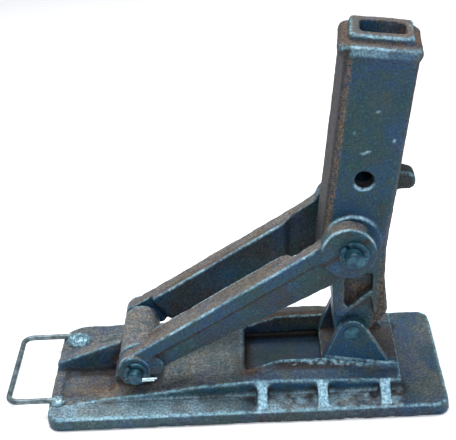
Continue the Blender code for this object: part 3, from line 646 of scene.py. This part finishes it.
def socket_marks(points, normals):
    """Rust runs down the front left corner and shows on the mouth; collar lines get painted
    highlights.
    """
    u, v = socket_frame(points)
    y, z = points[:, 1] / MM, points[:, 2] / MM
    up = np.clip(normals[:, 2], 0, 1)
    left = SOCKET_MID - SOCKET_HALF - 0.01 * (u - 66)
    corner = band(v, left + 4.4, 3.4, 1.4) * ramp(y, -26, -28.5) * ramp(u, 60, 90)
    mouth = up * ramp(u, 262, 270)
    collar = ramp(u, 256, 260)
    hole = from_axis(points, *SOCKET_HOLE)
    boss = from_axis(points, HEAD[0] / MM, HEAD[2] / MM)

    rust = 0.75 * corner * ramp(u, 262, 252) + 0.4 * mouth
    rust += bells(points, (0.9, (137, 0, 322), (16, 18, 20)), (0.7, (98, -24, 100), (14, 9, 14)))
    rust += 0.4 * ramp(v, 12, 19) * (u < 120) * (y < -20)
    rust += 0.12 * ramp(lumps(points, 40 * MM, 3, 67), 0.2, 0.8) * (y < -29)

    # Painted shade on both sides, faces that look down, inside the hole and on the collar's sides;
    # grime in the mouth and in a spot low on the front.
    grime_and_shade = 0.7 * ramp(v, 16.5, 19.5) + 0.85 * ramp(v, left + 4, left + 1.5)
    grime_and_shade += 0.8 * ramp(-normals[:, 2], 0.3, 0.8) + 0.4 * mouth
    grime_and_shade += ramp(hole, 8.8, 8.0) * (np.abs(y) < 30.4)
    grime_and_shade += 0.5 * near(points, (98, -24, 96), (12, 8, 12))
    grime_and_shade += 0.5 * collar * ramp(v, 12, 22) + 0.6 * collar * ramp(v, left + 5, left + 1)

    # Painted highlights on the four raised flaws, the hole's lower rim, the head boss's arc and the
    # collar's lines.
    painted_highlight = bells(points, (0.9, (106, -31, 237), (2.4, 4, 0.8)),
                 (0.9, (109.4, -31, 238.4), (2, 4, 0.8)), (1, (131, -31, 247), (1.0, 4, 1.2)),
                 (0.6, (98, -31, 256), (1, 4, 0.8)), (0.7, (118, -31, 274), (1.6, 4, 0.8)))
    painted_highlight += 0.9 * band(hole, 8.6, 1.3, 0.4) * ramp(z, 210, 206) * (y < -28)
    painted_highlight += 0.8 * band(boss, 25, 1.4, 0.4) * ramp(z, 166, 176) * (y < -31)
    broken = 0.35 + 0.65 * ramp(lumps(points, 12 * MM, 3, 69), -0.4, 0.4)
    lines = sum(height * band(u, middle, outer, inner) for height, middle, outer, inner in (
        (0.35, 263, 4.4, 1.0), (0.7, 267, 1.4, 0.3), (0.8, 273.8, 1.4, 0.3)))
    painted_highlight += lines * (y < -20) * ramp(v, 24, 14) * broken * (v > left + 4)
    unmarked_edges = ramp(u, 270, 272) * band(v, SOCKET_MID, 24, 22.5) * ramp(np.abs(y), 19.5, 18)
    return {"rusty": rust, "painted_highlight": painted_highlight, "dusty": 0.35 * mouth, "grime_and_shade": grime_and_shade, "unmarked_edges": unmarked_edges}


def shoe_shape(points, normals, convex):
    """The shoe: cast skin only."""
    return 0.7 * cast_skin(points, convex, 37)


def shoe_marks(points, normals):
    """Painted shade inside, and a painted highlight band on the front ear along the guide's sloping
    lip.
    """
    x, y, z = (points / MM).T
    lip = 38 - 12 * np.clip((x - 70) / 67, 0, 1)
    broken = 0.4 + 0.6 * ramp(grain(points, 5 * MM, 73), -0.3, 0.3)
    # Painted highlight: a band on the front ear at the height of the guide's sloping lip.
    highlight_band = band(z, lip - 0.6, 2.4, 1.2) * (y < -31) * broken
    inside = ramp(np.abs(y), 25.5, 23.5)
    # Painted shade between the ears and on the rear ear; rust low inside.
    return {"rusty": 0.3 * inside * ramp(z, 40, 24), "painted_highlight": 0.8 * highlight_band,
            "dusty": 0.2 * np.clip(normals[:, 2], 0, 1), "grime_and_shade": 0.6 * inside + 0.5 * (y > 30)}


def make_castings(paint):
    """Re-skin the five castings."""
    for node, body, voxel, shape, marks, soft in (
            ("base_casting", "base", 1.45 * MM, base_shape, base_marks, None),
            ("link_arm_front", "arms", 0.95 * MM, arm_shape, arm_marks, arm_soft),
            ("link_arm_rear", "arms", 0.95 * MM, arm_shape, arm_marks, arm_soft),
            ("lever_socket", "socket", 1.15 * MM, socket_shape, socket_marks, None),
            ("slide_shoe", "shoe", 0.9 * MM, shoe_shape, shoe_marks, None)):
        finish(casting(node, body, voxel, shape, marks, soft), paint)


# Steel pieces


def place_piece(piece, material, slot, body, node):
    """Finish a new piece, hide the CAD node it stands for, and attach it to the body it rides on.
    """
    finish(piece, material)
    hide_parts(node)
    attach(piece, body)


def clevis_pin(node, centre, radius, tip, boss):
    """Profile of a headed pin: a bevelled head behind the rear washer and a chamfered tip."""
    head = boss + WASHER + 2 * GAP
    wide = radius + 4 * MM
    profile = rounded_profile(
        ((-tip, 0.15 * MM), (-tip, radius - 0.9 * MM), (-tip + 1.1 * MM, radius), (head, radius),
         (head, wide), (head + 3.6 * MM, wide), (head + 5 * MM, wide - 2.5 * MM),
         (head + 5 * MM, 0.15 * MM)), 0.9 * MM)
    return turned(node, centre, profile)


def ring(node, centre, inner, outer, low, high):
    """Closed profile of a washer: a rectangle with its outer corners rounded."""
    rim = rounded_profile(((low, inner), (low, outer), (high, outer), (high, inner)), 0.6 * MM)
    return turned(node, centre, rim, closed=True)


def spring_washer(node, centre, inner, outer, low, high):
    """A split washer: a rounded section carried round the pin, open at its upper left, and twisted.

    Its point is (r cos a, y + twist . a, r sin a), with a from just past the gap to just before it.
    """
    section = rounded_profile(((0.5, 0), (1, 0), (1, 1), (0, 1), (0, 0), (0.5, 0)), 0.12, 3)[:-1]
    angle = np.radians(np.linspace(SPLIT_AT + 9, SPLIT_AT + 351, 84))
    r = inner + (outer - inner) * section[:, 0]
    twist = np.linspace(-0.35, 0.25, len(angle)) * MM
    y = low + 0.35 * MM + (high - low - 0.6 * MM) * section[:, 1]
    points = np.stack((np.outer(np.cos(angle), r) + centre[0], y[None, :] + twist[:, None],
                       np.outer(np.sin(angle), r) + centre[2]), axis=-1)
    last = (len(angle) - 1) * len(r)
    faces = grid_faces(len(angle), len(r))
    faces += [list(range(len(r))), list(range(last, last + len(r)))]
    return new_object(node, points.reshape(-1, 3), faces, 40)


def split_pin(node, centre, left, right, eye):
    """A split pin: one wire that runs up a leg, round an eye and back along the other leg.

    The eye is a circle of angle a, from 28 to 332 degrees.  The legs lie 0.8 mm above and below its
    middle, and the upper one's tip is 0.3 mm higher still.
    """
    apart = 0.8 * MM
    angle = np.radians(np.linspace(28, 332, 30))
    loop = np.stack((eye * np.cos(angle) - left - eye, 0 * angle, eye * np.sin(angle)), axis=1)
    run = np.linspace(0, 1, 14)[:, None]
    upper_end = np.array((right, 0, apart + 0.3 * MM))
    lower_end = np.array((right - 2.5 * MM, 0, -apart))
    upper_start = np.array((-left + 1 * MM, 0, apart))
    lower_start = np.array((-left + 1 * MM, 0, -apart))
    path = np.concatenate((upper_end + (upper_start - upper_end) * run, loop,
                           lower_start + (lower_end - lower_start) * run)) + centre
    made = swept(node, path, (0, 1, 0), 0.75 * MM, 12)
    store(made.data, "shine", ramp(read(made.data, "points")[:, 0], centre[0], centre[0] + 6 * MM))
    return made


def shoe_pin(node):
    """Profile of a rivet-like pin with low domed ends."""
    end = 33.4 * MM + GAP
    shank = 6.5 * MM
    head = 7.4 * MM
    dome = np.radians(np.linspace(2, 78, 8))
    left = [(-end - 1.2 * MM * math.cos(a), head * math.sin(a)) for a in dome]
    profile = [*left, (-end, head), (-end, shank), (end, shank), (end, head),
               *[(-y, r) for y, r in reversed(left)]]
    return turned(node, SHOE, profile, steps=48)


def bail(node):
    """The bail: a round bar bent to a U with two corner bends, and slightly uneven."""
    bend = 9 * MM
    front_end = -170 * MM
    rear_end = -165 * MM
    middle = BAIL_X + bend
    quarter = np.radians(np.linspace(0, 90, 12))
    leg = np.linspace(0, 1, 24)
    straight = BAIL_HALF - bend
    front = np.stack((front_end + (middle - front_end) * leg, np.full(24, -BAIL_HALF)), axis=1)
    rising, falling = bend * np.sin(quarter), bend * np.cos(quarter)
    corner_a = np.stack((middle - rising, -straight - falling), axis=1)
    across = np.stack((np.full(40, BAIL_X), np.linspace(-straight, straight, 40)), axis=1)
    corner_b = np.stack((middle - falling, straight + rising), axis=1)
    rear = np.stack((middle + (rear_end - middle) * leg, np.full(24, BAIL_HALF)), axis=1)
    flat = np.concatenate((front, corner_a[1:], across[1:], corner_b[1:], rear[1:]))
    path = np.column_stack((flat, np.full(len(flat), BAIL_Z)))
    width = WIRE * (1 - 0.03 * (1 + grain(path, 9 * MM, 5)) / 2)
    return swept(node, path, (0, 0, 1), width, 24)


def weld_bead(node, centre, size, seed):
    """A weld: half an ellipsoid, flattened, with ripples and lumps that fade to its foot."""
    rows, columns = 60, 96
    rise = np.radians(np.linspace(0, 89.9, rows))[:, None]
    turn = np.linspace(0, 2 * math.pi, columns, endpoint=False)[None, :]
    unit = np.stack((np.cos(rise) * np.cos(turn), np.cos(rise) * np.sin(turn),
                     np.sin(rise) * np.ones_like(turn)), axis=-1).reshape(-1, 3)
    flat = unit * (0.96, 0.96, 0.72)
    points = flat * np.array(size) * MM + np.array(centre) * MM
    ripple = 0.3 * np.sin(points[:, 0] / MM * 1.9 + 2.0 * grain(points, 9 * MM, seed))
    swell = 1.6 * lumps(points, 5 * MM, 3, seed + 3) + ripple
    points += unit * (swell * MM * (0.35 + 0.65 * unit[:, 2]))[:, None]
    low, high = (np.array(corner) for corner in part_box(node))
    points = np.clip(points, low, high)
    faces = grid_faces(rows, columns) + [list(range(columns)),
                                         list(range((rows - 1) * columns, rows * columns))]
    return new_object(node, points, faces, 60)


def make_steel():
    """Make the pins, washers, split pins, bail and welds."""
    dull = bare_steel("painted_steel", colour(10, 50, 66), colour(44, 90, 108),
                      colour(66, 60, 50), 0.34)
    wire = bare_steel("bail_bar", colour(62, 78, 84), colour(112, 130, 136),
                      colour(84, 76, 68), 0.3)
    weld = bare_steel("weld_metal", colour(74, 110, 128), colour(150, 186, 200),
                      colour(76, 78, 78), 0.36)
    bright = two_tone_wire()
    on_arms = (dull, "dull_steel", "arms")
    place_piece(clevis_pin("hub_pin_turned", HUB, HUB_PIN, HUB_TIP, HUB_BOSS),
                *on_arms, "hub_pin")
    place_piece(clevis_pin("head_pin_turned", HEAD, HEAD_PIN, HEAD_TIP, HEAD_BOSS),
                *on_arms, "head_pin")
    for place, centre, radius, outer, boss, inside in (
            ("hub", HUB, HUB_PIN, HUB_WASHER, HUB_BOSS, HUB_SIDE),
            ("head", HEAD, HEAD_PIN, HEAD_WASHER, HEAD_BOSS, HEAD_SIDE)):
        inner = radius + PIN_FIT
        near_face = boss + GAP
        far_face = near_face + WASHER
        front = spring_washer(f"{place}_washer_split", centre, inner, outer, -far_face, -near_face)
        place_piece(front, *on_arms, f"{place}_washer_front")
        rear = ring(f"{place}_washer_back", centre, inner, outer, near_face, far_face)
        place_piece(rear, *on_arms, f"{place}_washer_rear")
        for side, word in ((-1, "front"), (1, "rear")):
            low, high = sorted((side * (inside + GAP), side * (inside + GAP + SPACER)))
            spacer = ring(f"{place}_spacer_ring_{word}", centre, inner, radius + SPACER_WALL,
                          low, high)
            place_piece(spacer, *on_arms, f"{place}_spacer_{word}")
    hub_hole = HUB + (0, -HUB_TIP + 3 * MM, -2.4 * MM)
    place_piece(split_pin("hub_split_wire", hub_hole, 6.4 * MM, 18.5 * MM, 1.7 * MM),
                bright, "bright_wire", "arms", "hub_split_pin")
    head_hole = HEAD + (0, -HEAD_TIP + 3 * MM, 0)
    place_piece(split_pin("head_split_wire", head_hole, 8.2 * MM, 10.6 * MM, 1.8 * MM),
                *on_arms, "head_split_pin")
    place_piece(shoe_pin("shoe_pin_turned"), dull, "dull_steel", "shoe", "shoe_pin")
    place_piece(bail("bail_bar"), wire, "handle_wire", "base", "carry_handle")
    for node, centre, size, seed in (
            ("handle_weld_rear", (-165.5, 45.5, 12.6), (12.5, 10.5, 9.5), 71),
            ("handle_weld_front", (-174, -51, 12.6), (8, 6.5, 7.5), 83)):
        place_piece(weld_bead(node, centre, size, seed), weld, "weld_metal", "base", node)


# Room


def area_light(name, place, aim, size, power, tint=(1, 1, 1)):
    """Make a square soft light that faces a point."""
    lamp = bpy.data.lights.new(name, "AREA")
    lamp.size = size
    lamp.energy = power
    lamp.color = tint
    made = bpy.data.objects.new(name, lamp)
    bpy.context.scene.collection.objects.link(made)
    made.location = place
    made.rotation_euler = (Vector(place) - Vector(aim)).to_track_quat("Z", "Y").to_euler()


def make_room():
    """Make the pale floor just under the base, the sky and three soft lights."""
    edge, drop = 6.0, -0.6 * MM
    corners = np.array([(x * edge, y * edge, drop)
                        for x, y in ((-1, -1), (1, -1), (1, 1), (-1, 1))])
    floor = new_object("floor", corners, [[0, 1, 2, 3]])
    cover = Nodes("floor_paper")
    cover.shader.inputs["Base Color"].default_value = colour(248, 248, 250)
    cover.shader.inputs["Roughness"].default_value = 0.9
    finish(floor, cover.material)
    world = bpy.data.worlds.new("sky")
    world.use_nodes = True
    sky = world.node_tree.nodes["Background"]
    sky.inputs["Color"].default_value = (0.93, 0.96, 1.0, 1)
    sky.inputs["Strength"].default_value = 0.38
    bpy.context.scene.world = world
    area_light("top_light", (-0.15, 0.25, 1.35), (0, 0, 0.05), 1.0, 27)
    area_light("front_light", (0.25, -1.3, 1.15), (0, 0, 0.12), 0.6, 11, (0.97, 0.98, 1))
    area_light("side_light", (1.2, -0.3, 0.8), (0, 0, 0.15), 0.8, 4, (0.92, 0.97, 1))


def make_camera():
    """Make the camera: turned a little to the right, raised, and rolled a little."""
    turn, lift, roll = (math.radians(angle) for angle in (2.21, 28.34, -3.84))
    aim = Vector((-0.01059, 0, 0.1644))
    distance = 1.05158
    back = Vector((math.sin(turn) * math.cos(lift), -math.cos(turn) * math.cos(lift),
                   math.sin(lift)))
    right = Vector((math.cos(turn), math.sin(turn), 0))
    up = right.cross(-back)
    across = right * math.cos(roll) + up * math.sin(roll)
    upright = -right * math.sin(roll) + up * math.cos(roll)
    camera = bpy.data.objects.new("camera", bpy.data.cameras.new("camera"))
    camera.data.sensor_width = 36
    camera.data.lens = 94.37
    pose = Matrix((across, upright, back)).transposed().to_4x4()
    pose.translation = aim + back * distance
    camera.matrix_world = pose
    bpy.context.scene.collection.objects.link(camera)
    bpy.context.scene.camera = camera


bpy.context.scene.view_settings.view_transform = "Standard"
make_camera()
make_room()
make_castings(painted_iron())
make_steel()
